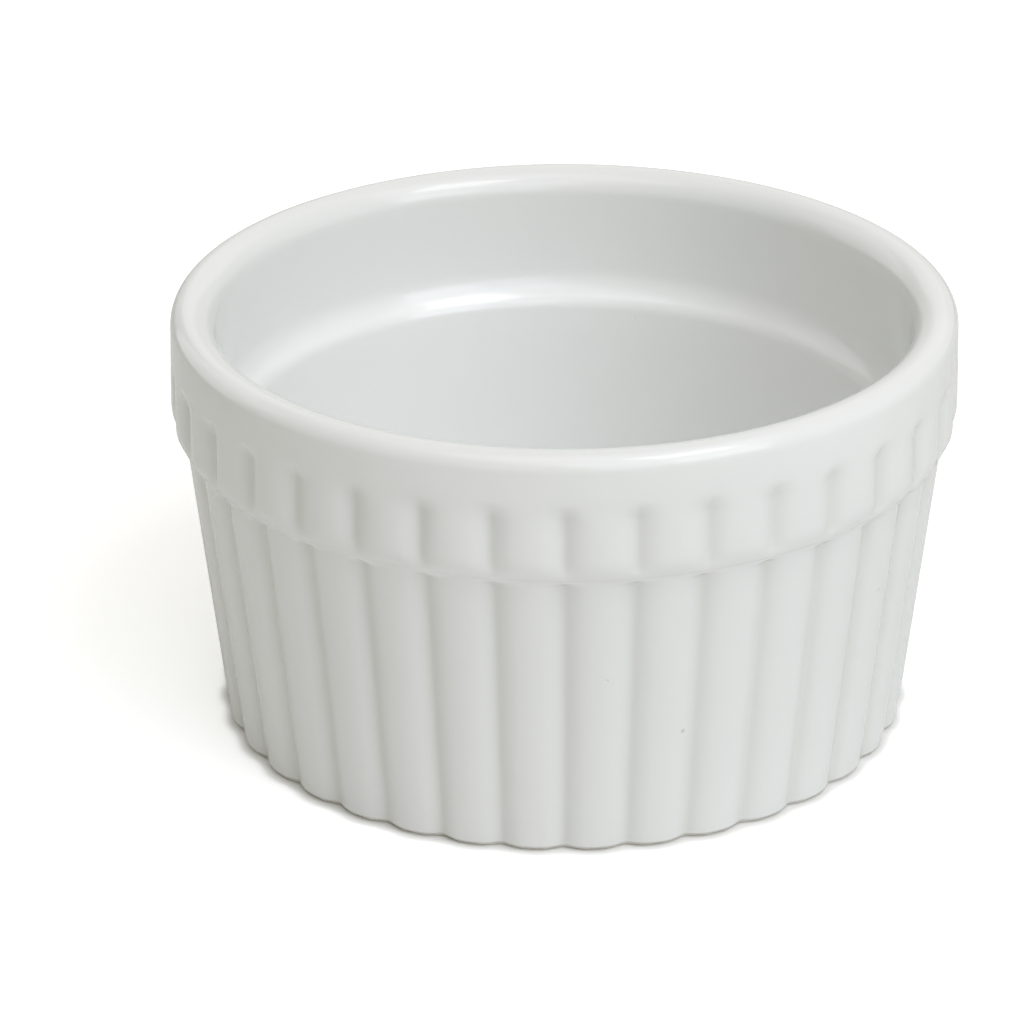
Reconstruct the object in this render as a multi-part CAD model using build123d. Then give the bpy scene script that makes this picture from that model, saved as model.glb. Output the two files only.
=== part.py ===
"""Ramekin: a fluted porcelain dish, fired in one piece, with its glaze.

Millimetres, +Z up. The origin is the centre of the foot ring's resting face, on the axis
of the dish, and the middle of one groove faces -Y.

Many functions take a skin: zero gives the surface of the glaze, and the thickness of the
glaze gives the clay under it. The glaze is rounded where the clay is cut in plain flats.
"""

import os
from itertools import pairwise
from math import acos, asin, cos, pi, radians, sin, sqrt, tan

from build123d import *

# Height over all, and from the rim down: the smooth band, and the fluted part of the collar
dish_height = 50.0
band_height = 5.7
collar_flute_length = 6.2

# Radius of the band under its round rim, and over the crests of the ribs: how far the collar
# stands out from the band, how far it overhangs the wall, and how far the wall tapers in
band_radius = 45.0
collar_swell = 0.35
collar_overhang = 1.4
wall_taper = 3.5

# Ribs, and the grooves between them
flute_count = 36
groove_depth = 0.75
flute_fade_height = 1.0

# Round edges of the outside
rim_outer_round = 1.95
collar_round = 3.7
base_round = 1.0

# Inside: the rim, the wall under it, the ledge, the lower wall and the floor
rim_land_width = 0.1
rim_inner_round = 2.7
upper_wall_draft = 0.8
ledge_depth = 14.35
ledge_width = 2.3
ledge_slope = 42.0
ledge_cove_round = 3.9
ledge_edge_round = 3.3
lower_wall_draft = 4.5
floor_height = 5.0
floor_cove_round = 6.0

# Bare foot ring, with an edge bevelled up to where the glaze ends, and the recess inside it
foot_width = 3.4
foot_bevel = 0.5
recess_height = 2.0
recess_round = 0.8

# The glaze, and the clay's flats under it: on each rib's crest, and as a share of a round edge
glaze_thickness = 0.28
clay_crest_width = 2.6
bevel_share = 0.58

# Rows of facets down the collar's round bottom edge, in the glaze and in the clay
glaze_rows = 3
clay_rows = 2

# How far the collar's foot lies under the grooves of the wall, and a cut past what it cuts
seat_depth = 0.3
overrun = 5.0

# Heights, radii and slopes that follow
flute_top_height = dish_height - band_height
flute_end_height = flute_top_height + flute_fade_height
collar_round_height = flute_top_height - collar_flute_length
collar_radius = band_radius + collar_swell
body_top_radius = collar_radius - collar_overhang
body_base_radius = body_top_radius - wall_taper
step_height = collar_round_height - sqrt(collar_round**2 - (collar_round - collar_overhang) ** 2)
ledge_height = dish_height - ledge_depth
collar_flare = collar_swell / (dish_height - rim_outer_round - collar_round_height)
body_slope = wall_taper / (step_height - base_round)
foot_outer_radius = body_base_radius - glaze_thickness - foot_bevel
foot_inner_radius = foot_outer_radius - foot_width


def collar_radius_at(height):
    """The collar and the band flare slightly outwards on their way down."""
    return collar_radius - collar_flare * (height - collar_round_height)


def body_radius_at(height):
    """The lower wall tapers inwards on its way down."""
    return body_base_radius + body_slope * (height - base_round)


def polar(radius, angle):
    """The point at this radius, with the angle counted in radians from -Y towards +X."""
    return Vector(radius * sin(angle), -radius * cos(angle))


def fluted_face(height, crest_radius, depth, skin):
    """The outline at this height: ribs, round or with flat crests, that meet in grooves."""
    pitch = 2 * pi / flute_count
    radius = crest_radius - skin
    half_crest = clay_crest_width / 2 / radius
    edges = []
    for flute in range(flute_count):
        middle = (flute + 1 / 2) * pitch
        groove = polar(radius - depth, middle - pitch / 2)
        next_groove = polar(radius - depth, middle + pitch / 2)
        crest_ends = [polar(radius, middle - half_crest), polar(radius, middle + half_crest)]
        corners = [groove, *crest_ends, next_groove]
        if not skin:
            edges.append(ThreePointArc(groove, polar(radius, middle), next_groove))
        elif depth:
            edges += [Line(start, end) for start, end in pairwise(corners)]
        else:
            middles = [(start + end).normalized() * radius for start, end in pairwise(corners)]
            edges += [ThreePointArc(*arc) for arc in zip(corners, middles, corners[1:])]
    return Pos(Z=height) * Face(Wire(edges))


def fluted_block(levels, skin):
    """A solid between fluted outlines, each with its height, crest radius and groove depth."""
    return loft([fluted_face(*level, skin) for level in levels], ruled=True)


def lower_block(skin):
    """The tapered wall under the collar: clay down to the table, or glaze to where it ends."""
    if skin:
        levels = [(0, body_base_radius - foot_bevel), (foot_bevel, body_radius_at(foot_bevel))]
    else:
        rise = asin(1 - foot_bevel / base_round)
        end_radius = body_base_radius - base_round * (1 - cos(rise))
        levels = [(foot_bevel, end_radius), (base_round, body_base_radius)]
    levels.append((collar_round_height, body_radius_at(collar_round_height)))
    return fluted_block([(*level, groove_depth) for level in levels], skin)


def collar_block(skin):
    """The collar: a round bottom edge, ribs that begin on it, and grooves that fade out on top."""
    rows = clay_rows if skin else glaze_rows
    round_centre = collar_radius - collar_round
    groove_radius = collar_radius - groove_depth
    seat_radius = body_top_radius - groove_depth - seat_depth
    seat_turn = acos((seat_radius - round_centre) / collar_round)
    levels = []
    for row in range(rows + 1):
        turn = seat_turn * (1 - row / rows)
        radius = round_centre + collar_round * cos(turn)
        height = collar_round_height - collar_round * sin(turn)
        levels.append((height, radius, max(0, radius - groove_radius)))
    levels.append((flute_top_height, collar_radius_at(flute_top_height), groove_depth))
    levels.append((flute_end_height, collar_radius_at(flute_end_height), 0))
    return fluted_block(levels, skin)


def bevelled(points, rounds):
    """The points of a line whose corners are cut back by a share of the round's tangents."""
    cut_points = [points[0]]
    for before, corner, after, radius in zip(points, points[1:], points[2:], rounds):
        back = (before - corner).normalized()
        ahead = (after - corner).normalized()
        half_turn = (pi - radians(back.get_angle(ahead))) / 2
        cut = bevel_share * radius * tan(half_turn)
        cut_points += [corner + back * cut, corner + ahead * cut]
    return cut_points + [points[-1]]


def profile(points, rounds, skin):
    """A line in radius and height, with round corners in the glaze and bevels in the clay."""
    if skin:
        return Polyline(bevelled(points, rounds))
    return FilletPolyline(points, radius=rounds)


def turned(line, *others):
    """The solid swept round the axis by the closed outline that these lines make up."""
    edges = [edge for part in (line, *others) for edge in part.edges()]
    return revolve(Plane.XZ * make_face(edges), Axis.Z)


def band_block(skin):
    """The smooth band over the flutes, with the outer half of the round rim."""
    top = dish_height - skin
    corners = [
        Vector(collar_radius_at(flute_end_height) - skin, flute_end_height),
        Vector(collar_radius_at(dish_height) - skin, top),
        Vector(0, top),
    ]
    line = profile(corners, [rim_outer_round], skin)
    return turned(line, Polyline(corners[-1], (0, flute_end_height), corners[0]))


def set_back(points, skin):
    """A line moved to its left, with its first point straight down and its last likewise."""
    moved = [points[0] - Vector(0, skin)]
    for before, corner, after in zip(points, points[1:], points[2:]):
        legs = [(corner - before).normalized(), (after - corner).normalized()]
        ways = [Vector(-leg.Y, leg.X) for leg in legs]
        moved.append(corner + (ways[0] + ways[1]) * (skin / (1 + ways[0].dot(ways[1]))))
    return moved + [points[-1] - Vector(0, skin)]


def hollow(skin):
    """What is cut out over the floor: from the land on the rim in and down, and all above it."""
    land_radius = collar_radius_at(dish_height) - rim_outer_round - rim_land_width
    wall_radius = land_radius - rim_inner_round * tan(radians(90 - upper_wall_draft) / 2)
    ledge_radius = wall_radius - (dish_height - ledge_height) * tan(radians(upper_wall_draft))
    edge_radius = ledge_radius - ledge_width
    edge_height = ledge_height - ledge_width * tan(radians(ledge_slope))
    floor_radius = edge_radius - (edge_height - floor_height) * tan(radians(lower_wall_draft))
    corners = [
        Vector(land_radius + rim_land_width / 2, dish_height),
        Vector(wall_radius, dish_height),
        Vector(ledge_radius, ledge_height),
        Vector(edge_radius, edge_height),
        Vector(floor_radius, floor_height),
        Vector(0, floor_height),
    ]
    points = set_back(corners, skin)
    rounds = [rim_inner_round, ledge_cove_round, ledge_edge_round, floor_cove_round]
    above = dish_height + overrun
    lid = Polyline(points[-1], (0, above), (points[0].X, above), points[0])
    return turned(profile(points, rounds, skin), lid)


def cup(skin):
    """The whole dish without the recess in its underside."""
    return lower_block(skin) + collar_block(skin) + band_block(skin) - hollow(skin)


def recess_corners(skin):
    """The corners of the underside, from the foot ring's inner edge to the middle."""
    return [
        Vector(foot_inner_radius - skin, foot_bevel),
        Vector(foot_inner_radius - skin, recess_height - skin),
        Vector(0, recess_height - skin),
    ]


def porcelain_body():
    """The fired clay: floor, fluted wall, collar, band, rim and the bare foot ring."""
    corners = recess_corners(0)
    mouth = Vector(foot_inner_radius + foot_bevel, 0)
    line = profile(corners, [recess_round], glaze_thickness)
    return cup(glaze_thickness) - turned(line, Polyline(corners[-1], (0, 0), mouth, corners[0]))


def glaze_coat():
    """The glaze over the inside, the rim and the outside, which ends above the foot ring."""
    return cup(0) - cup(glaze_thickness)


def glaze_base():
    """The glaze in the recess of the underside, inside the bare foot ring."""
    clay, glass = recess_corners(0), recess_corners(glaze_thickness)
    return turned(
        profile(clay, [recess_round], glaze_thickness),
        Line(clay[-1], glass[-1]),
        profile(glass, [recess_round], 0),
        Line(glass[0], clay[0]),
    )


os.makedirs("parts", exist_ok=True)
for make in (porcelain_body, glaze_coat, glaze_base):
    piece = make()
    print(make.__name__, round(piece.volume), "mm3")
    export_step(piece, f"parts/{make.__name__}.step")
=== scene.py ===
"""The look of the fluted porcelain ramekin: its glaze, its bare clay, the light and the camera.

Metres, +Z up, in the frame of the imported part. The glaze is a closed film, which a tree of
nodes sweeps round the axis of the dish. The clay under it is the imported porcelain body, which
shows only at the bare foot ring.
"""

import math

import bpy
from mathutils import Matrix, Vector


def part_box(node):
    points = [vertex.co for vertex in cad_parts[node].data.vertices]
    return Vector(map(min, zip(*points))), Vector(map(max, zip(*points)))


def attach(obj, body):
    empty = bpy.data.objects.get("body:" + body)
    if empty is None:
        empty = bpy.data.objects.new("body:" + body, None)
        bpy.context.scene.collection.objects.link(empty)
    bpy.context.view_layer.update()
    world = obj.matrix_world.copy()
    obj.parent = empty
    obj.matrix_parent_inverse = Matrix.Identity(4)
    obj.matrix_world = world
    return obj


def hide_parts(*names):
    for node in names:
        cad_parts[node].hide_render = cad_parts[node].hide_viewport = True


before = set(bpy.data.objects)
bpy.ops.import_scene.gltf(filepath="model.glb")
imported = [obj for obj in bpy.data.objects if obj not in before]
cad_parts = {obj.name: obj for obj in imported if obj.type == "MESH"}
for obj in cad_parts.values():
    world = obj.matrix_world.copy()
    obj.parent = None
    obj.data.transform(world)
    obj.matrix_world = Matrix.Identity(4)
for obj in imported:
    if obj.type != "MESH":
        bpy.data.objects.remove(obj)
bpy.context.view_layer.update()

MM = 0.001

# Heights and radii of the outside, over the crests of the ribs
DISH_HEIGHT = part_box("glaze_coat")[1].z
GLAZE_END_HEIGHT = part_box("glaze_coat")[0].z
COLLAR_ROUND_HEIGHT = 38.1 * MM
BAND_RADIUS = 44.93 * MM
COLLAR_RADIUS = 45.35 * MM
BODY_TOP_RADIUS = 43.95 * MM
BODY_BASE_RADIUS = 40.37 * MM

# The flutes, and the middle and the height of the stretch where their tops fade out
FLUTE_COUNT = 36
GROOVE_DEPTH = 0.8 * MM
FLUTE_TOP_HEIGHT = 43.7 * MM
FLUTE_FADE_HEIGHT = 2.6 * MM

# The section of a rib, from its groove to its crest: the way across, and the rise, as shares
RIB_SECTION_SHARES = [(0, 0), (0.06, 0.03), (0.14, 0.16), (0.25, 0.37), (0.4, 0.62), (0.6, 0.85), (1, 1)]

# Round edges
BASE_ROUND = 1.0 * MM
STEP_ROUND = 0.9 * MM
COLLAR_ROUND = 3.7 * MM
RIM_OUTER_ROUND = 1.95 * MM
RIM_INNER_ROUND = 3.0 * MM
LEDGE_COVE_ROUND = 4.4 * MM
LEDGE_EDGE_ROUND = 2.4 * MM
FLOOR_COVE_ROUND = 6.0 * MM
RECESS_ROUND = 0.8 * MM

# The collar's underside, a straight leg from the wall that turns up through the collar's round.
# The leg is measured to the corner that the round cuts off, as a share of the round's tangent.
COLLAR_LEG_SHARE = 1.3
COLLAR_TURN = math.acos(1 - (COLLAR_RADIUS - BODY_TOP_RADIUS) / (COLLAR_LEG_SHARE * COLLAR_ROUND))
COLLAR_TANGENT = COLLAR_ROUND * math.tan(COLLAR_TURN / 2)
COLLAR_CORNER_HEIGHT = COLLAR_ROUND_HEIGHT - COLLAR_TANGENT
STEP_HEIGHT = COLLAR_CORNER_HEIGHT - COLLAR_LEG_SHARE * COLLAR_TANGENT * math.cos(COLLAR_TURN)

# The inside, and the recess inside the foot ring
RIM_INNER_RADIUS = 40.0 * MM
LEDGE_TOP_RADIUS = 39.88 * MM
LEDGE_TOP_HEIGHT = 35.62 * MM
LEDGE_EDGE_RADIUS = 37.68 * MM
LEDGE_EDGE_HEIGHT = 33.62 * MM
FLOOR_RADIUS = 35.47 * MM
FLOOR_HEIGHT = 5.0 * MM
RECESS_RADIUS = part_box("glaze_base")[1].x
RECESS_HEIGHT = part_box("glaze_base")[1].z

# The films of glaze: the coat is sunk into the clay so that no gap shows
COAT_FILM_THICKNESS = 0.35 * MM
BASE_FILM_THICKNESS = 0.28 * MM

# The rows of a film's mesh: how far apart they are at most, the most that a round edge turns
# between two and the fewest steps that it has, the rows over which the grooves fade at their
# tops and just under the step, and the front rows to each row at the back
ROW_SPACING = 3.5 * MM
ROUND_STEP = math.radians(10)
LEAST_ROUND_STEPS = 2
FADE_ROWS = 8
STEP_ROWS = 4
BACK_ROW_STEP = 3

# The steps round the dish, which lie closer together in the grooves than on the crests, and the
# distance within which points are joined where the mesh closes on itself
STEPS_PER_FLUTE = 16
STEP_GATHER = 1.4
WELD_DISTANCE = 0.001 * MM

# Patterns: the scale counts their features along a metre, and the detail adds finer waves.
# Noise runs about its middle, and a patch has its soft edge between two values of the noise.
NOISE_MIDDLE = (0.5, 0.5, 0.5)
PATCH_EDGES = (0.35, 0.65)

# Where a node that mixes has its colours, among its sockets for other kinds of value
MIX_COLOUR_INPUTS = (6, 7)
MIX_COLOUR_OUTPUT = 2

# How the dish warped in firing, and the broad and fine ripple of its surface
WARP = 0.1 * MM
WARP_SCALE = 22.0
WARP_DETAIL = 1.0
BROAD_RIPPLE = {"Scale": 70.0, "Detail": 1.0}
FINE_RIPPLE = {"Scale": 420.0, "Detail": 2.0}

# The glaze: white with slightly duller patches, and greyer in the grooves, partly as pooled glaze and
# partly as painted shade in the grooves
GLAZE_WHITE = (0.88, 0.885, 0.88)
GLAZE_DULL_WHITE = (0.86, 0.87, 0.865)
GLAZE_PATCHES = {"Scale": 28.0, "Detail": 2.0}
GLAZE_POOLED_AND_SHADED = (0.79, 0.797, 0.775)
POOLING_AND_SHADE_POWER = 1.7
GLAZE_RIPPLE = {"Broad height": 0.08 * MM, "Fine height": 0.004 * MM}
GLAZE_IOR = 1.5
GLAZE_ROUGHNESS_MIN = 0.07
GLAZE_ROUGHNESS_MAX = 0.14
GLAZE_GLOSS_PATCHES = {"Scale": 45.0, "Detail": 2.0}

# Its iron specks and pinholes. Each is a spot in a cell: the size is its radius in cells, and the
# share is how many of the cells have one. A spot is full over its core and fades out round it.
SPOT_CORE_SHARE = 0.5
GLAZE_SPECKS = {"Scale": 160.0, "Size": 0.055, "Share": 0.1}
GLAZE_SPECK_STRENGTH = 0.4
GLAZE_SPECK_COLOUR = (0.38, 0.33, 0.28)
PINHOLES = {"Scale": 230.0, "Size": 0.06, "Share": 0.08}
PINHOLE_DEPTH = 0.06 * MM

# The bare clay of the foot ring: two tones of grain, and specks of its own
CLAY_DARK = (0.68, 0.655, 0.6)
CLAY_LIGHT = (0.74, 0.715, 0.66)
CLAY_GRAIN = {"Scale": 900.0, "Detail": 3.0}
CLAY_GRAIN_HEIGHT = 0.01 * MM
CLAY_RIPPLE = {"Broad height": 0.06 * MM, "Fine height": 0.01 * MM}
CLAY_SPECKS = {"Scale": 500.0, "Size": 0.1, "Share": 0.12}
CLAY_SPECK_STRENGTH = 0.7
CLAY_SPECK_COLOUR = (0.36, 0.28, 0.2)
CLAY_ROUGHNESS = 0.75

# Each lamp: the direction it shines from, its distance, width and height in metres, watts and colour
LAMPS = {
    "overhead_pane": ((0.38, -0.3, 0.87), 0.9, 0.35, 0.3, 1.2, (1, 1, 1)),
    "front_right_pane": ((0.62, -0.62, 0.48), 1.1, 0.5, 0.36, 0.8, (1, 1, 1)),
    "overhead_diffuser": ((0.2, -0.35, 0.92), 1.0, 1.2, 1.0, 3.4, (1, 1, 1)),
    "ceiling_bounce": ((0.0, 0.1, 1.0), 1.4, 1.6, 1.6, 3.25, (0.94, 0.84, 1)),
    "front_right_softbox": ((0.45, -0.7, 0.55), 1.1, 1.0, 0.8, 3.25, (0.76, 0.85, 1)),
    "front_fill": ((0.0, -0.95, 0.3), 1.2, 1.0, 0.8, 0.56, (1, 0.7, 0.58)),
    "left_back_softbox": ((-0.8, 0.5, 0.4), 1.0, 0.8, 0.8, 1.33, (0.92, 0.97, 1)),
    "back_light": ((0.1, 0.8, 0.6), 1.0, 1.0, 0.6, 0.79, (1, 1, 1)),
}

# The room: what it lights the dish with beside the lamps, and how bright the gloss mirrors it
AMBIENT = (0.157, 0.157, 0.102)
SURROUND = (0.86, 0.86, 0.86)
WHITE = (1, 1, 1)
BLACK = (0, 0, 0)

# The floor: its colour to the camera and in the light that it sends back, and the glow that whitens
# it. The glow comes up between two shares of open air within a short distance, and so leaves the
# contact with the dish dark.
FLOOR_SIZE = 4.0
FLOOR_CAMERA_COLOUR = (0.97, 0.97, 0.97)
FLOOR_BOUNCE_COLOUR = (0.9, 0.9, 0.9)
FLOOR_GLOW = 0.42
FLOOR_GLOW_EDGES = (0.5, 0.95)
FLOOR_CONTACT_DISTANCE = 2.0 * MM

# The camera: where it stands, as seen from a point on the axis of the dish, and how far it then
# turns away from that point
CAMERA_AIM_HEIGHT = 20.0 * MM
CAMERA_DISTANCE = 433.3 * MM
CAMERA_ELEVATION = math.radians(25.84)
CAMERA_TURN = math.radians(-0.1)
CAMERA_YAW = math.radians(-0.806)
CAMERA_PITCH = math.radians(0.294)
CAMERA_ROLL = math.radians(0.03)
CAMERA_FOCAL_PIXELS = 3672.5
IMAGE_WIDTH_PIXELS = 1024
SENSOR_WIDTH_MM = 36.0


def smooth_step(value):
    """0 below 0, 1 above 1, and a smooth rise between them."""
    value = min(1, max(0, value))
    return value * value * (3 - 2 * value)


def rounded(corners):
    """The points of a line through corners (radius, height, arc radius), with small steps on arcs."""
    points = [Vector(corners[0][:2])]
    for before, (radius, height, arc_radius), after in zip(corners, corners[1:], corners[2:]):
        place = Vector((radius, height))
        back = (Vector(before[:2]) - place).normalized()
        ahead = (Vector(after[:2]) - place).normalized()
        turn = math.pi - back.angle(ahead)
        if turn * arc_radius == 0:
            points.append(place)
            continue
        tangent = arc_radius * math.tan(turn / 2)
        centre = place + (back + ahead).normalized() * (arc_radius / math.cos(turn / 2))
        steps = max(LEAST_ROUND_STEPS, math.ceil(turn / ROUND_STEP))
        start = place + back * tangent - centre
        side = math.copysign(1, back.cross(ahead))
        for step in range(steps + 1):
            angle = -side * turn * step / steps
            points.append(centre + Matrix.Rotation(angle, 2) @ start)
    return points + [Vector(corners[-1][:2])]


def divided(points):
    """The same line, with points added so that no two are further apart than the row spacing."""
    finer = [points[0]]
    for start, end in zip(points, points[1:]):
        count = max(1, math.ceil((end - start).length / ROW_SPACING))
        finer += [start.lerp(end, step / count) for step in range(1, count + 1)]
    return finer


def collar_radius_at(height):
    """The collar and the band flare outwards on their way down."""
    share = (height - COLLAR_ROUND_HEIGHT) / (DISH_HEIGHT - COLLAR_ROUND_HEIGHT)
    return COLLAR_RADIUS + (BAND_RADIUS - COLLAR_RADIUS) * share


def glazed_line():
    """The line over the crests: from the glaze's lower end, over the rim, and down to the floor."""
    # It starts under the foot, so that the base is round, and is cut off where the glaze ends
    taper = (BODY_TOP_RADIUS - BODY_BASE_RADIUS) / (STEP_HEIGHT - BASE_ROUND)
    wall_foot_radius = BODY_BASE_RADIUS - taper * BASE_ROUND
    under_foot_radius = wall_foot_radius - 2 * BASE_ROUND

    # Rows for the grooves to fade over, at the top of the wall and under the smooth band
    wall_top_drops = [STEP_ROUND * (1 - row / STEP_ROWS / 2) for row in range(STEP_ROWS)]
    fade_start = FLUTE_TOP_HEIGHT - FLUTE_FADE_HEIGHT / 2
    fade_heights = [fade_start + FLUTE_FADE_HEIGHT * row / FADE_ROWS for row in range(FADE_ROWS + 1)]
    line = rounded([
        (under_foot_radius, 0, 0),
        (wall_foot_radius, 0, BASE_ROUND),
        *[(BODY_TOP_RADIUS - taper * drop, STEP_HEIGHT - drop, 0) for drop in wall_top_drops],
        (BODY_TOP_RADIUS, STEP_HEIGHT, STEP_ROUND),
        (COLLAR_RADIUS, COLLAR_CORNER_HEIGHT, COLLAR_ROUND),
        *[(collar_radius_at(height), height, 0) for height in fade_heights],
        (BAND_RADIUS, DISH_HEIGHT, RIM_OUTER_ROUND),
        (RIM_INNER_RADIUS, DISH_HEIGHT, RIM_INNER_ROUND),
        (LEDGE_TOP_RADIUS, LEDGE_TOP_HEIGHT, LEDGE_COVE_ROUND),
        (LEDGE_EDGE_RADIUS, LEDGE_EDGE_HEIGHT, LEDGE_EDGE_ROUND),
        (FLOOR_RADIUS, FLOOR_HEIGHT, FLOOR_COVE_ROUND),
        (0, FLOOR_HEIGHT, 0),
    ])
    return [point for point in line if point.y >= GLAZE_END_HEIGHT]


def recess_line():
    """The underside, from its middle out to the foot ring's inner edge, where the glaze ends."""
    radius = RECESS_RADIUS - BASE_FILM_THICKNESS
    height = RECESS_HEIGHT - BASE_FILM_THICKNESS
    return rounded([(0, height, 0), (radius, height, RECESS_ROUND), (radius, GLAZE_END_HEIGHT, 0)])


def groove_depth_at(point):
    """How deep the grooves are at this point of the outside, on the line over the crests.

    On the wall they fade out under the step. On the collar they begin where its round underside
    comes out past their floor, and they fade out below the smooth band.
    """
    if point.y < STEP_HEIGHT:
        return GROOVE_DEPTH * smooth_step((STEP_HEIGHT - point.y) / STEP_ROUND)
    if point.y < COLLAR_ROUND_HEIGHT:
        return max(0, point.x - (COLLAR_RADIUS - GROOVE_DEPTH))
    fade = (point.y - FLUTE_TOP_HEIGHT) / FLUTE_FADE_HEIGHT + 1 / 2
    return GROOVE_DEPTH * (1 - smooth_step(fade))


def film_rows(front, depths, thickness):
    """The closed outline of a film: its front, then fewer rows set back into the clay."""
    rows = list(zip(front, depths))
    back = []
    for index, (point, depth) in enumerate(rows):
        if index % BACK_ROW_STEP and index != len(rows) - 1:
            continue
        before, after = front[max(0, index - 1)], front[min(len(front) - 1, index + 1)]
        along = (after - before).normalized()
        inwards = Vector((-along.y, along.x)) * thickness
        if point.x == 0:
            inwards.x = 0
        back.append((point + inwards, depth))
    return rows + back[::-1] + rows[:1]


def link(obj):
    """Puts a new object into the scene."""
    bpy.context.scene.collection.objects.link(obj)
    return obj


def set_inputs(tree, node, inputs):
    """Links a node's inputs to sockets, or sets them to values."""
    for key, value in inputs.items():
        if isinstance(value, bpy.types.NodeSocket):
            tree.links.new(value, node.inputs[key])
        else:
            node.inputs[key].default_value = value
    return node


def add(tree, kind, inputs=None, **settings):
    """A new node with these settings and inputs."""
    node = tree.nodes.new(kind)
    for name, value in settings.items():
        setattr(node, name, value)
    return set_inputs(tree, node, inputs or {})


def maths(tree, operation, *values, kind="ShaderNodeMath"):
    """The result of one sum on sockets and numbers."""
    return add(tree, kind, dict(enumerate(values)), operation=operation).outputs[0]


def new_tree(name, kind, inputs, outputs):
    """A node group with these sockets, the values given to it, and the places for its results."""
    tree = bpy.data.node_groups.new(name, kind)
    for in_out, sockets in (("INPUT", inputs), ("OUTPUT", outputs)):
        for socket_name, socket_type in sockets.items():
            tree.interface.new_socket(socket_name, in_out=in_out, socket_type=f"NodeSocket{socket_type}")
    return tree, tree.nodes.new("NodeGroupInput").outputs, tree.nodes.new("NodeGroupOutput").inputs


def flute_steps(tree, given, column):
    """For a column of the mesh: the share of the way from groove to crest, and the angle."""
    turns = maths(tree, "DIVIDE", column, given["Steps per flute"])
    groove = maths(tree, "ROUND", turns)
    off_groove = maths(tree, "SUBTRACT", turns, groove)
    even_share = maths(tree, "MULTIPLY", maths(tree, "ABSOLUTE", off_groove), 2)
    share = maths(tree, "POWER", even_share, given["Step gather"])
    offset = maths(tree, "MULTIPLY", maths(tree, "SIGN", off_groove), maths(tree, "DIVIDE", share, 2))
    pitch = maths(tree, "DIVIDE", math.tau, given["Flutes"])
    return share, maths(tree, "MULTIPLY", maths(tree, "ADD", groove, offset), pitch)


def rib_rise(tree, share):
    """How far a rib has risen from its groove to its crest, at this share of the way across."""
    section = add(tree, "ShaderNodeFloatCurve", {"Value": share})
    # A new curve already has its two ends
    points = section.mapping.curves[0].points
    for x, y in RIB_SECTION_SHARES[1:-1]:
        points.new(x, y)
    for point in points:
        point.handle_type = "AUTO_CLAMPED"
    section.mapping.update()
    return section.outputs[0]


def swept(tree, radius, angle, height):
    """The place at this radius and height, with the angle counted from -Y towards +X."""
    x = maths(tree, "MULTIPLY", radius, maths(tree, "SINE", angle))
    towards = maths(tree, "MULTIPLY", radius, maths(tree, "COSINE", angle))
    y = maths(tree, "MULTIPLY", towards, -1)
    return add(tree, "ShaderNodeCombineXYZ", {"X": x, "Y": y, "Z": height}).outputs[0]


def warp_offset(tree, given, place):
    """How far the firing has warped the dish at this place."""
    waves = {"Vector": place, "Scale": given["Warp scale"], "Detail": WARP_DETAIL}
    noise = add(tree, "ShaderNodeTexNoise", waves).outputs["Color"]
    centred = maths(tree, "SUBTRACT", noise, NOISE_MIDDLE, kind="ShaderNodeVectorMath")
    scaled = {0: centred, "Scale": given["Warp"]}
    return add(tree, "ShaderNodeVectorMath", scaled, operation="SCALE").outputs[0]


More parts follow.
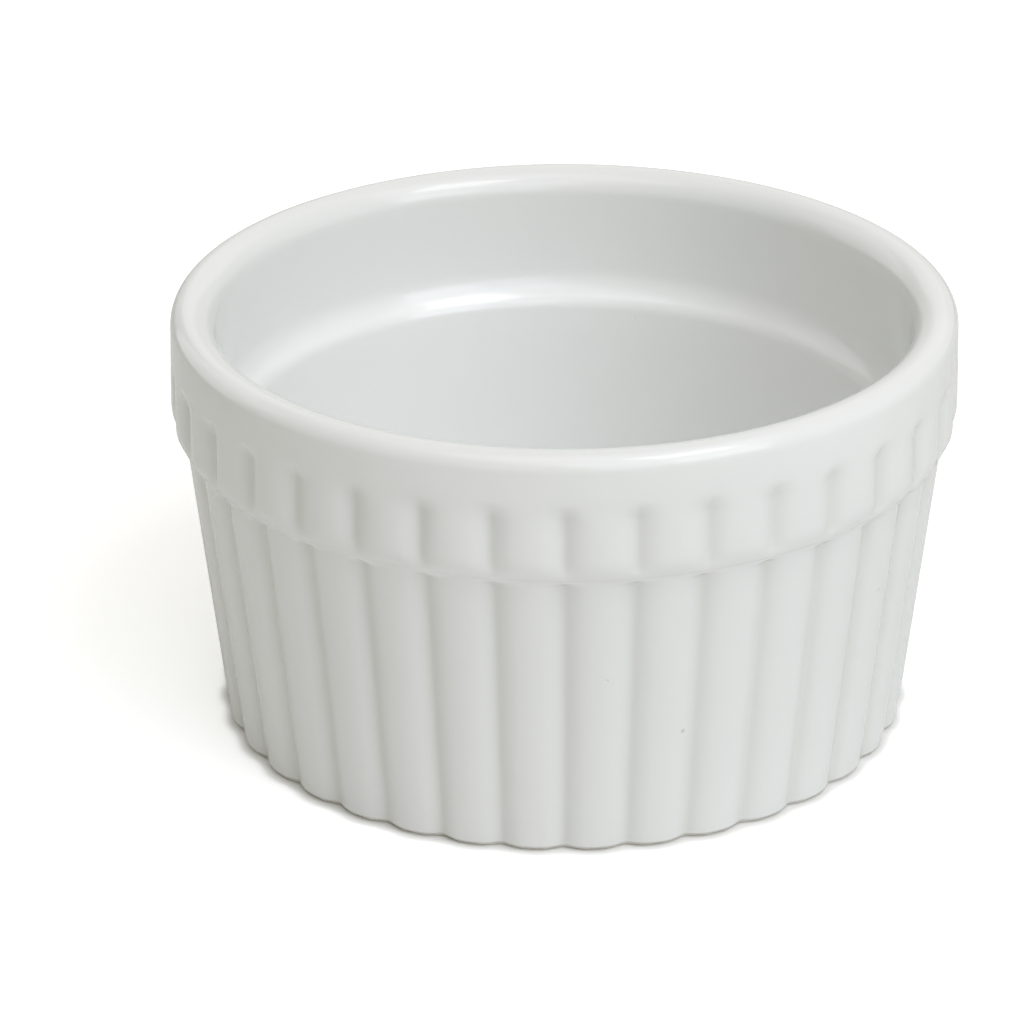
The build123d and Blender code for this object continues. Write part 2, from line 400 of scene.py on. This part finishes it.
def swept_film_tree():
    """Sweeps a profile's points round the axis, and sinks grooves between ribs into them."""
    inputs = {
        "Profile": "Geometry",
        "Flutes": "Int",
        "Steps per flute": "Int",
        "Step gather": "Float",
        "Groove depth": "Float",
        "Warp": "Float",
        "Warp scale": "Float",
        "Weld distance": "Float",
        "Material": "Material",
    }
    tree, given, result = new_tree("swept_film", "GeometryNodeTree", inputs, {"Film": "Geometry"})
    rows = add(tree, "GeometryNodeAttributeDomainSize", {0: given["Profile"]}).outputs["Point Count"]
    steps = maths(tree, "MULTIPLY", given["Flutes"], given["Steps per flute"])
    columns = maths(tree, "ADD", steps, 1)
    grid = add(tree, "GeometryNodeMeshGrid", {"Vertices X": columns, "Vertices Y": rows}).outputs["Mesh"]
    index = add(tree, "GeometryNodeInputIndex").outputs[0]
    row = maths(tree, "MODULO", index, rows, kind="FunctionNodeIntegerMath")
    column = maths(tree, "DIVIDE_FLOOR", index, rows, kind="FunctionNodeIntegerMath")

    def at_row(value, data_type):
        """This value of the profile, at the point that the mesh's row stands for."""
        sampled = {"Geometry": given["Profile"], "Value": value, "Index": row}
        return add(tree, "GeometryNodeSampleIndex", sampled, data_type=data_type).outputs[0]

    place = add(tree, "GeometryNodeInputPosition").outputs[0]
    profile = add(tree, "ShaderNodeSeparateXYZ", {0: at_row(place, "FLOAT_VECTOR")}).outputs
    named = add(tree, "GeometryNodeInputNamedAttribute", {"Name": "groove_depth"}, data_type="FLOAT")
    depth = at_row(named.outputs["Attribute"], "FLOAT")

    share, angle = flute_steps(tree, given, column)
    sunk = maths(tree, "MULTIPLY", depth, maths(tree, "SUBTRACT", 1, rib_rise(tree, share)))
    surface = swept(tree, maths(tree, "SUBTRACT", profile["X"], sunk), angle, profile["Z"])
    moves = {"Geometry": grid, "Position": surface, "Offset": warp_offset(tree, given, surface)}
    moved = add(tree, "GeometryNodeSetPosition", moves).outputs[0]

    # The share of the groove's depth at each point, which greys the glaze in the grooves, partly as
    # pooled glaze and partly as painted shade
    pooling_and_shade = maths(tree, "DIVIDE", sunk, given["Groove depth"])
    stores = {"Geometry": moved, "Name": "pooling_and_shade", "Value": pooling_and_shade}
    stored = add(tree, "GeometryNodeStoreNamedAttribute", stores, data_type="FLOAT").outputs[0]
    welds = {"Geometry": stored, "Distance": given["Weld distance"]}
    welded = add(tree, "GeometryNodeMergeByDistance", welds).outputs[0]
    smooth = add(tree, "GeometryNodeSetShadeSmooth", {0: welded}).outputs[0]
    whole = add(tree, "GeometryNodeRealizeInstances", {0: smooth}).outputs[0]
    painted = add(tree, "GeometryNodeSetMaterial", {"Geometry": whole, "Material": given["Material"]})
    tree.links.new(painted.outputs[0], result["Film"])
    return tree


def glaze_film(name, tree, rows, material):
    """The film of glaze swept from these rows, as a finished mesh."""
    profile = bpy.data.meshes.new(f"{name}_profile")
    profile.from_pydata([(point.x, 0, point.y) for point, depth in rows], [], [])
    depths = profile.attributes.new("groove_depth", "FLOAT", "POINT")
    depths.data.foreach_set("value", [depth for point, depth in rows])
    film = link(bpy.data.objects.new(name, profile))
    modifier = film.modifiers.new("Film", "NODES")
    modifier.node_group = tree
    values = {
        "Flutes": FLUTE_COUNT,
        "Steps per flute": STEPS_PER_FLUTE,
        "Step gather": STEP_GATHER,
        "Groove depth": GROOVE_DEPTH,
        "Warp": WARP,
        "Warp scale": WARP_SCALE,
        "Weld distance": WELD_DISTANCE,
        "Material": material,
    }
    for socket in tree.interface.items_tree:
        if socket.in_out == "INPUT" and socket.name in values:
            modifier[socket.identifier] = values[socket.name]
    evaluated = film.evaluated_get(bpy.context.evaluated_depsgraph_get())
    mesh = bpy.data.meshes.new_from_object(evaluated)
    film.modifiers.clear()
    film.data = mesh
    mesh.name = name
    bpy.data.meshes.remove(profile)
    return film


def noise_at(tree, place, pattern):
    """A cloudy value about one half, in this pattern of scale and detail."""
    return add(tree, "ShaderNodeTexNoise", {"Vector": place, **pattern}).outputs[0]


def stepped(tree, value, first, last):
    """0 up to the first value, 1 from the last one on, and a smooth change between them."""
    values = {"Value": value, "From Min": first, "From Max": last}
    return add(tree, "ShaderNodeMapRange", values, interpolation_type="SMOOTHSTEP").outputs[0]


def ripple_group():
    """The slow waves of a fired surface, as a height in metres."""
    inputs = {"Vector": "Vector", "Broad height": "Float", "Fine height": "Float"}
    tree, given, result = new_tree("fired_ripple", "ShaderNodeTree", inputs, {"Height": "Float"})
    broad = noise_at(tree, given["Vector"], BROAD_RIPPLE)
    fine = noise_at(tree, given["Vector"], FINE_RIPPLE)
    fine_height = maths(tree, "MULTIPLY", fine, given["Fine height"])
    height = maths(tree, "MULTIPLY_ADD", broad, given["Broad height"], fine_height)
    tree.links.new(height, result["Height"])
    return tree


def patch_group():
    """Patches with soft edges, such as duller glaze and grains of clay."""
    inputs = {"Vector": "Vector", "Scale": "Float", "Detail": "Float"}
    tree, given, result = new_tree("soft_patches", "ShaderNodeTree", inputs, {"Mask": "Float"})
    noise = noise_at(tree, given["Vector"], {"Scale": given["Scale"], "Detail": given["Detail"]})
    tree.links.new(stepped(tree, noise, *PATCH_EDGES), result["Mask"])
    return tree


def speck_group():
    """Sparse small round spots, such as iron specks and pinholes."""
    inputs = {"Vector": "Vector", "Scale": "Float", "Size": "Float", "Share": "Float"}
    tree, given, result = new_tree("sparse_specks", "ShaderNodeTree", inputs, {"Mask": "Float"})
    cells = add(tree, "ShaderNodeTexVoronoi", {"Vector": given["Vector"], "Scale": given["Scale"]})
    core = maths(tree, "MULTIPLY", given["Size"], SPOT_CORE_SHARE)
    spot = stepped(tree, cells.outputs["Distance"], given["Size"], core)
    chance = add(tree, "ShaderNodeSeparateColor", {0: cells.outputs["Color"]}).outputs[0]
    chosen = maths(tree, "LESS_THAN", chance, given["Share"])
    tree.links.new(maths(tree, "MULTIPLY", spot, chosen), result["Mask"])
    return tree


def grouped(tree, group, place, values):
    """The result of a shader group at this place, with these values."""
    return add(tree, "ShaderNodeGroup", {"Vector": place, **values}, node_tree=group).outputs[0]


def mixed(tree, factor, *colours):
    """A colour mixed from two, each a socket or a colour."""
    values = [colour if isinstance(colour, bpy.types.NodeSocket) else (*colour, 1) for colour in colours]
    inputs = {0: factor, **dict(zip(MIX_COLOUR_INPUTS, values))}
    return add(tree, "ShaderNodeMix", inputs, data_type="RGBA").outputs[MIX_COLOUR_OUTPUT]


def bumped(tree, height):
    """The normal of a surface raised by this height in metres."""
    return add(tree, "ShaderNodeBump", {"Height": height, "Strength": 1.0, "Distance": 1.0}).outputs[0]


def new_material(name):
    """A new material, its tree and its surface shader."""
    material = bpy.data.materials.new(name)
    material.use_nodes = True
    return material, material.node_tree, material.node_tree.nodes["Principled BSDF"]


def place_on_piece(tree):
    """The place in the piece's own frame, which its patterns keep to."""
    return tree.nodes.new("ShaderNodeTexCoord").outputs["Object"]


def porcelain_glaze(ripple, patches, specks):
    """Glossy white glaze, greyer in the grooves from pooled glaze and painted groove shade, with a few
    iron specks and pinholes.
    """
    material, tree, shader = new_material("porcelain_glaze")
    place = place_on_piece(tree)
    white = mixed(tree, grouped(tree, patches, place, GLAZE_PATCHES), GLAZE_WHITE, GLAZE_DULL_WHITE)
    # Greyer towards the grooves' floors: partly pooled glaze, partly painted shade in the grooves
    pooling_and_shade = add(tree, "ShaderNodeAttribute", attribute_name="pooling_and_shade").outputs["Fac"]
    tinted_and_shaded = mixed(tree, maths(tree, "POWER", pooling_and_shade, POOLING_AND_SHADE_POWER), white, GLAZE_POOLED_AND_SHADED)
    iron = maths(tree, "MULTIPLY", grouped(tree, specks, place, GLAZE_SPECKS), GLAZE_SPECK_STRENGTH)
    holes = maths(tree, "MULTIPLY", grouped(tree, specks, place, PINHOLES), PINHOLE_DEPTH)
    height = maths(tree, "SUBTRACT", grouped(tree, ripple, place, GLAZE_RIPPLE), holes)
    gloss = {
        "Value": noise_at(tree, place, GLAZE_GLOSS_PATCHES),
        "To Min": GLAZE_ROUGHNESS_MIN,
        "To Max": GLAZE_ROUGHNESS_MAX,
    }
    set_inputs(tree, shader, {
        "Base Color": mixed(tree, iron, tinted_and_shaded, GLAZE_SPECK_COLOUR),
        "Roughness": add(tree, "ShaderNodeMapRange", gloss).outputs[0],
        "Normal": bumped(tree, height),
        "IOR": GLAZE_IOR,
    })
    return material


def bare_porcelain(ripple, patches, specks):
    """Unglazed fired clay, matt and slightly grainy."""
    material, tree, shader = new_material("bare_porcelain")
    place = place_on_piece(tree)
    grain = grouped(tree, patches, place, CLAY_GRAIN)
    clay = mixed(tree, grain, CLAY_DARK, CLAY_LIGHT)
    iron = maths(tree, "MULTIPLY", grouped(tree, specks, place, CLAY_SPECKS), CLAY_SPECK_STRENGTH)
    waves = grouped(tree, ripple, place, CLAY_RIPPLE)
    height = maths(tree, "MULTIPLY_ADD", grain, CLAY_GRAIN_HEIGHT, waves)
    set_inputs(tree, shader, {
        "Base Color": mixed(tree, iron, clay, CLAY_SPECK_COLOUR),
        "Roughness": CLAY_ROUGHNESS,
        "Normal": bumped(tree, height),
    })
    return material


def studio_floor():
    """A plain pale floor that the camera sees nearly white, and that keeps the soft shadow."""
    material, tree, shader = new_material("studio_floor")
    seen = tree.nodes.new("ShaderNodeLightPath").outputs["Is Camera Ray"]
    open_air = add(tree, "ShaderNodeAmbientOcclusion", {"Distance": FLOOR_CONTACT_DISTANCE}).outputs["AO"]
    glow = maths(tree, "MULTIPLY", seen, stepped(tree, open_air, *FLOOR_GLOW_EDGES))
    set_inputs(tree, shader, {
        "Base Color": mixed(tree, seen, FLOOR_BOUNCE_COLOUR, FLOOR_CAMERA_COLOUR),
        "Roughness": 1.0,
        "Specular IOR Level": 0.0,
        "Emission Color": mixed(tree, glow, BLACK, WHITE),
        "Emission Strength": FLOOR_GLOW,
    })
    half = FLOOR_SIZE / 2
    corners = [(-half, -half, 0), (half, -half, 0), (half, half, 0), (-half, half, 0)]
    mesh = bpy.data.meshes.new("floor")
    mesh.from_pydata(corners, [], [(0, 1, 2, 3)])
    mesh.materials.append(material)
    floor = link(bpy.data.objects.new("floor", mesh))


def studio_world():
    """White behind the dish, pale in its gloss, and a dim light from all round."""
    world = bpy.data.worlds.new("studio")
    bpy.context.scene.world = world
    world.use_nodes = True
    tree = world.node_tree
    path = tree.nodes.new("ShaderNodeLightPath").outputs
    mirrored = mixed(tree, path["Is Glossy Ray"], AMBIENT, SURROUND)
    colour = mixed(tree, path["Is Camera Ray"], mirrored, WHITE)
    set_inputs(tree, tree.nodes["Background"], {"Color": colour})


def studio_lamps():
    """Rectangular lamps round the dish, each aimed at its middle."""
    aim = Vector((0, 0, DISH_HEIGHT / 2))
    for name, (direction, distance, width, height, power, colour) in LAMPS.items():
        lamp = bpy.data.lights.new(name, "AREA")
        lamp.shape = "RECTANGLE"
        lamp.size = width
        lamp.size_y = height
        lamp.energy = power
        lamp.color = colour
        holder = link(bpy.data.objects.new(name, lamp))
        way = Vector(direction).normalized()
        holder.location = aim + way * distance
        holder.rotation_euler = way.to_track_quat("Z", "Y").to_euler()
        holder.visible_camera = False


def photo_camera():
    """The camera that was fitted to the photographed outlines of the dish."""
    ahead = Vector((0, math.cos(CAMERA_ELEVATION), -math.sin(CAMERA_ELEVATION)))
    right = Vector((1, 0, 0))
    up = right.cross(ahead)
    ahead = (ahead + right * math.tan(CAMERA_YAW) + up * math.tan(CAMERA_PITCH)).normalized()
    right = ahead.cross(up).normalized()
    up = right.cross(ahead)
    axes = Matrix((right, up, -ahead)).transposed() @ Matrix.Rotation(CAMERA_ROLL, 3, "Z")
    place = Vector((0, -math.cos(CAMERA_ELEVATION), math.sin(CAMERA_ELEVATION))) * CAMERA_DISTANCE
    place.z += CAMERA_AIM_HEIGHT
    turned = Matrix.Rotation(CAMERA_TURN, 4, "Z")
    camera = bpy.data.cameras.new("photo_camera")
    camera.sensor_width = SENSOR_WIDTH_MM
    camera.lens = SENSOR_WIDTH_MM * CAMERA_FOCAL_PIXELS / IMAGE_WIDTH_PIXELS
    holder = link(bpy.data.objects.new("photo_camera", camera))
    holder.matrix_world = turned @ Matrix.Translation(place) @ axes.to_4x4()
    bpy.context.scene.camera = holder
    bpy.context.scene.view_settings.view_transform = "Standard"


def glaze_over_dish(tree, glaze):
    """The glaze over the outside, the rim and the inside, with grooves up to the smooth band."""
    front = divided(glazed_line())
    rim_index = front.index(max(front, key=lambda point: point.y))
    depths = [groove_depth_at(point) if index < rim_index else 0 for index, point in enumerate(front)]
    coat = glaze_film("glaze_film", tree, film_rows(front, depths, COAT_FILM_THICKNESS), glaze)
    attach(coat, "root")
    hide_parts("glaze_coat")


def glaze_in_recess(tree, glaze):
    """The patch of glaze on the underside, inside the bare foot ring."""
    front = divided(recess_line())
    rows = film_rows(front, [0] * len(front), BASE_FILM_THICKNESS)
    base = glaze_film("base_glaze_film", tree, rows, glaze)
    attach(base, "root")
    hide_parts("glaze_base")


def dish():
    """The dish: two films of glaze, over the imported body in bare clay."""
    patterns = (ripple_group(), patch_group(), speck_group())
    glaze = porcelain_glaze(*patterns)
    film_tree = swept_film_tree()
    glaze_over_dish(film_tree, glaze)
    glaze_in_recess(film_tree, glaze)
    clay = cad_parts["porcelain_body"]
    clay.data.materials.clear()
    clay.data.materials.append(bare_porcelain(*patterns))


dish()
studio_floor()
studio_world()
studio_lamps()
photo_camera()
